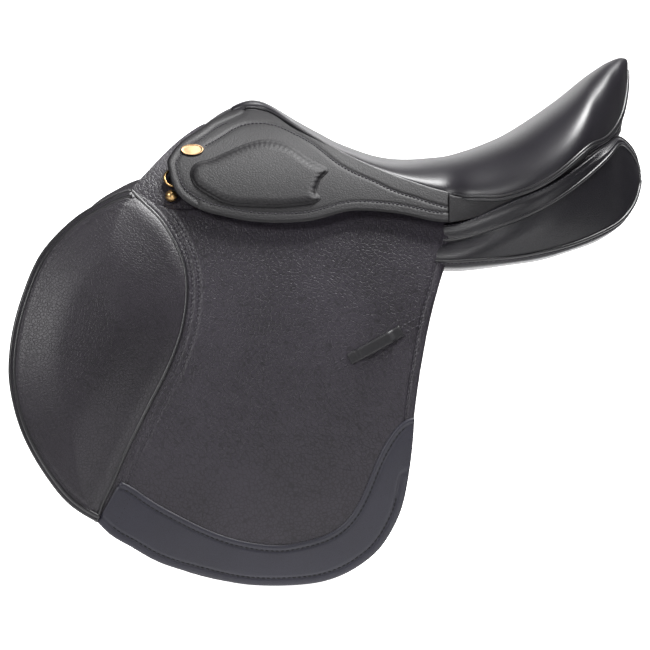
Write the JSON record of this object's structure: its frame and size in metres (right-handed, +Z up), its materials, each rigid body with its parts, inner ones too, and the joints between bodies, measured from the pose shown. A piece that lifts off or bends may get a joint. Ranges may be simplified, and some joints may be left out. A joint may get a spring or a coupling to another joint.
{
  "type": "english saddle",
  "caption": "Black leather jumping saddle with forward knee flaps, padded skirts, deep seat, stuffed panels, sprung tree, stirrup bars and hanging girth straps.",
  "frame": {"origin": "on the centre plane, under the lowest point of the seat, level with the underside of the panels", "axes": "+X towards the cantle, +Z up, the rider's left is -Y"},
  "size_m": [0.5593, 0.397, 0.4602],
  "materials": {
    "seat_leather": "smooth black calf, glossy where it is sat on",
    "skirt_leather": "smooth matte black leather, stitched and embossed",
    "grained_leather": "pebble-grained black leather",
    "knee_leather": "fine-grained satin black leather over padding",
    "panel_leather": "smooth black leather over stuffed panels",
    "trim_leather": "smooth blue-black leather strip",
    "smooth_leather": "smooth black leather",
    "strap_leather": "thick black bridle leather with punched holes",
    "canvas": "plain cotton webbing",
    "foam": "cream foam and felt",
    "tree_wood": "laminated beech",
    "tree_steel": "pressed steel",
    "bar_steel": "forged stainless steel",
    "brass_fittings": "polished brass"
  },
  "bodies": {
    "root": {"tree_frame": "tree_wood", "head_plate": "tree_steel", "gullet_plate": "tree_steel", "head_rivets": "tree_steel", "seat_webbing": "canvas", "seat_foam": "foam", "seat_cover": "seat_leather", "cantle_facing": "smooth_leather", "pommel_block": "foam", "pommel_cap": "smooth_leather", "gullet_lining": "smooth_leather", "left_spring": "tree_steel", "left_tail_band": "smooth_leather", "left_panel": "panel_leather", "left_sweat_flap": "smooth_leather", "left_girth_webs": "canvas", "left_stirrup_bar": "bar_steel", "left_bar_rivets": "bar_steel", "left_latch_pin": "bar_steel", "right_spring": "tree_steel", "right_tail_band": "smooth_leather", "right_panel": "panel_leather", "right_sweat_flap": "smooth_leather", "right_girth_webs": "canvas", "right_stirrup_bar": "bar_steel", "right_bar_rivets": "bar_steel", "right_latch_pin": "bar_steel"},
    "left_flap": {"left_flap_base": "smooth_leather", "left_flap_facing": "grained_leather", "left_knee_pad": "knee_leather", "left_knee_piping": "smooth_leather", "left_trim_strip": "trim_leather", "left_keeper": "smooth_leather", "left_dee_chape": "smooth_leather", "left_saddle_nail": "brass_fittings"},
    "left_skirt": {"left_skirt": "skirt_leather", "left_skirt_pad": "skirt_leather", "left_badge": "brass_fittings"},
    "left_ring": {"left_dee_ring": "brass_fittings"},
    "left_latch": {"left_bar_latch": "bar_steel"},
    "left_front_strap": {"left_front_girth_strap": "strap_leather"},
    "left_middle_strap": {"left_middle_girth_strap": "strap_leather"},
    "left_rear_strap": {"left_rear_girth_strap": "strap_leather"},
    "right_flap": {"right_flap_base": "smooth_leather", "right_flap_facing": "grained_leather", "right_knee_pad": "knee_leather", "right_knee_piping": "smooth_leather", "right_trim_strip": "trim_leather", "right_keeper": "smooth_leather", "right_dee_chape": "smooth_leather", "right_saddle_nail": "brass_fittings"},
    "right_skirt": {"right_skirt": "skirt_leather", "right_skirt_pad": "skirt_leather", "right_badge": "brass_fittings"},
    "right_ring": {"right_dee_ring": "brass_fittings"},
    "right_latch": {"right_bar_latch": "bar_steel"},
    "right_front_strap": {"right_front_girth_strap": "strap_leather"},
    "right_middle_strap": {"right_middle_girth_strap": "strap_leather"},
    "right_rear_strap": {"right_rear_girth_strap": "strap_leather"}
  },
  "joints": [
    {"name": "left_flap_lift", "type": "hinge", "parent": "root", "child": "left_flap", "pos_m": [-0.053, -0.07148, 0.1058], "axis": [-0.8061, 0.4667, 0.3638], "range_deg": [0, 80]},
    {"name": "left_skirt_lift", "type": "hinge", "parent": "left_flap", "child": "left_skirt", "pos_m": [-0.053, -0.07148, 0.1058], "axis": [-0.8061, 0.4667, 0.3638], "range_deg": [0, 50]},
    {"name": "left_ring_swing", "type": "hinge", "parent": "left_flap", "child": "left_ring", "pos_m": [-0.211, -0.09409, 0.083], "axis": [0, 0.674, 0.7388], "range_deg": [0, 14]},
    {"name": "left_latch_turn", "type": "hinge", "parent": "root", "child": "left_latch", "pos_m": [-0.043, -0.09987, 0.078], "axis": [0, 0.7651, -0.644], "range_deg": [0, 60]},
    {"name": "left_front_strap_swing", "type": "hinge", "parent": "root", "child": "left_front_strap", "pos_m": [-0.125, -0.10135, 0.0455], "axis": [0, 1, 0], "range_deg": [-6, 6]},
    {"name": "left_middle_strap_swing", "type": "hinge", "parent": "root", "child": "left_middle_strap", "pos_m": [-0.08, -0.10602, 0.0455], "axis": [0, 1, 0], "range_deg": [-6, 6]},
    {"name": "left_rear_strap_swing", "type": "hinge", "parent": "root", "child": "left_rear_strap", "pos_m": [-0.035, -0.10135, 0.0455], "axis": [0, 1, 0], "range_deg": [-6, 6]},
    {"name": "right_flap_lift", "type": "hinge", "parent": "root", "child": "right_flap", "pos_m": [-0.053, 0.07148, 0.1058], "axis": [0.8061, 0.4667, -0.3638], "range_deg": [0, 80]},
    {"name": "right_skirt_lift", "type": "hinge", "parent": "right_flap", "child": "right_skirt", "pos_m": [-0.053, 0.07148, 0.1058], "axis": [0.8061, 0.4667, -0.3638], "range_deg": [0, 50]},
    {"name": "right_ring_swing", "type": "hinge", "parent": "right_flap", "child": "right_ring", "pos_m": [-0.211, 0.09409, 0.083], "axis": [0, 0.674, -0.7388], "range_deg": [0, 14]},
    {"name": "right_latch_turn", "type": "hinge", "parent": "root", "child": "right_latch", "pos_m": [-0.043, 0.09987, 0.078], "axis": [0, 0.7651, 0.644], "range_deg": [0, 60]},
    {"name": "right_front_strap_swing", "type": "hinge", "parent": "root", "child": "right_front_strap", "pos_m": [-0.125, 0.10135, 0.0455], "axis": [0, 1, 0], "range_deg": [-6, 6]},
    {"name": "right_middle_strap_swing", "type": "hinge", "parent": "root", "child": "right_middle_strap", "pos_m": [-0.08, 0.10602, 0.0455], "axis": [0, 1, 0], "range_deg": [-6, 6]},
    {"name": "right_rear_strap_swing", "type": "hinge", "parent": "root", "child": "right_rear_strap", "pos_m": [-0.035, 0.10135, 0.0455], "axis": [0, 1, 0], "range_deg": [-6, 6]}
  ]
}
